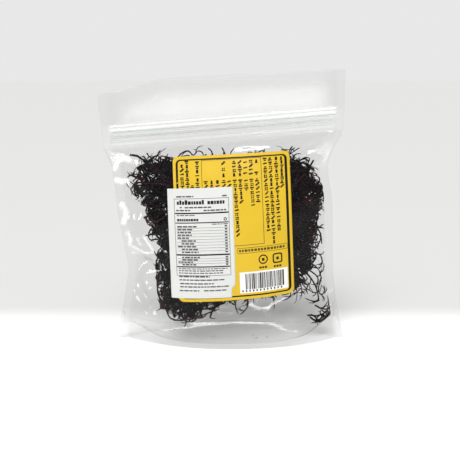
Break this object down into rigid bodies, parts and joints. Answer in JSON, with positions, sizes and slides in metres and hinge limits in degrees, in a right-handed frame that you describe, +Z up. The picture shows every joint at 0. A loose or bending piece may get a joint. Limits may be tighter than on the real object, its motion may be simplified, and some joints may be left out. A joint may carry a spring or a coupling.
{
  "type": "dried funori seaweed in a clear stand-up pouch",
  "caption": "Clear press-zip stand-up pouch of dark dried funori seaweed, with a yellow paper label and a white panel sticker on the front film.",
  "frame": {"origin": "under the middle of the pouch's base, on the surface it stands on", "axes": "+Z up, -Y towards the front with the label, +X to the right as the front is seen"},
  "size_m": [0.1737, 0.0579, 0.1958],
  "materials": {
    "film": "gloss",
    "label_paper": "satin",
    "sticker_paper": "satin"
  },
  "bodies": {
    "root": {"pouch": "film", "label": "label_paper", "sticker": "sticker_paper"}
  },
  "joints": []
}
